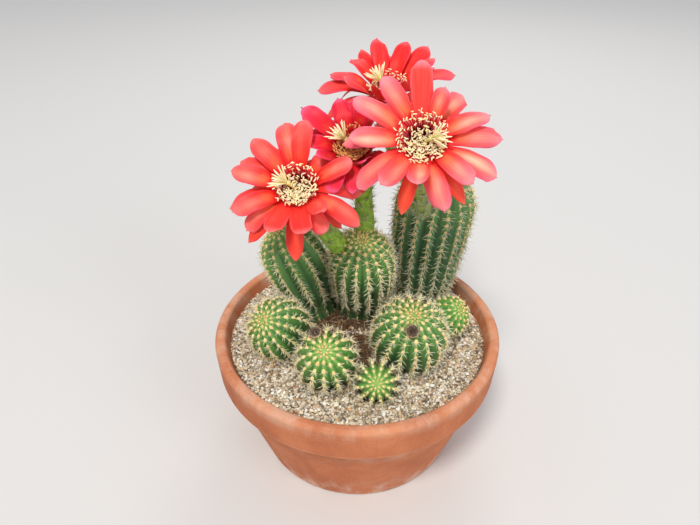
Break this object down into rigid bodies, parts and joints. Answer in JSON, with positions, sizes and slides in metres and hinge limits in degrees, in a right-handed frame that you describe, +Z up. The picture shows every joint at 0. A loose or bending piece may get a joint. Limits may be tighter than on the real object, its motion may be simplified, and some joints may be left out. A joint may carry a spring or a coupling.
{
  "type": "potted flowering cactus",
  "caption": "Potted clump of ribbed globular and short columnar cacti with large red funnel flowers, planted in a gravel-topped round terracotta pan with a drain hole.",
  "frame": {"origin": "centre of the pot's foot, on the surface that the pot stands on", "axes": "+Z up along the pot's axis; -Y towards the viewer, the side that the flowers face; +X to the viewer's right"},
  "size_m": [0.236, 0.236, 0.3358],
  "materials": {
    "terracotta": "matte",
    "soil": "matte",
    "gravel": "matte",
    "cactus_skin": "satin",
    "dried_flower": "matte",
    "right_petals": "satin",
    "flower_tube": "satin",
    "stamens": "satin",
    "stigma": "satin",
    "left_petals": "satin",
    "middle_petals": "satin",
    "rear_petals": "satin"
  },
  "bodies": {
    "root": {"pot": "terracotta", "potting_soil": "soil", "gravel_top_dressing": "gravel", "stem_left": "cactus_skin", "stem_middle": "cactus_skin", "stem_rear_right": "cactus_skin", "pup_left": "cactus_skin", "pup_front": "cactus_skin", "pup_front_small": "cactus_skin", "pup_right": "cactus_skin", "pup_far_right": "cactus_skin", "flower_scar_front": "dried_flower", "flower_scar_right": "dried_flower", "flower_right_inner_tepals": "right_petals", "flower_right_middle_tepals": "right_petals", "flower_right_outer_tepals": "right_petals", "flower_right_tube": "flower_tube", "flower_right_stamens": "stamens", "flower_right_stigma": "stigma", "flower_left_inner_tepals": "left_petals", "flower_left_middle_tepals": "left_petals", "flower_left_outer_tepals": "left_petals", "flower_left_tube": "flower_tube", "flower_left_stamens": "stamens", "flower_left_stigma": "stigma", "flower_middle_inner_tepals": "middle_petals", "flower_middle_middle_tepals": "middle_petals", "flower_middle_outer_tepals": "middle_petals", "flower_middle_tube": "flower_tube", "flower_middle_stamens": "stamens", "flower_middle_stigma": "stigma", "flower_rear_inner_tepals": "rear_petals", "flower_rear_middle_tepals": "rear_petals", "flower_rear_outer_tepals": "rear_petals", "flower_rear_tube": "flower_tube", "flower_rear_stamens": "stamens", "flower_rear_stigma": "stigma"}
  },
  "joints": []
}
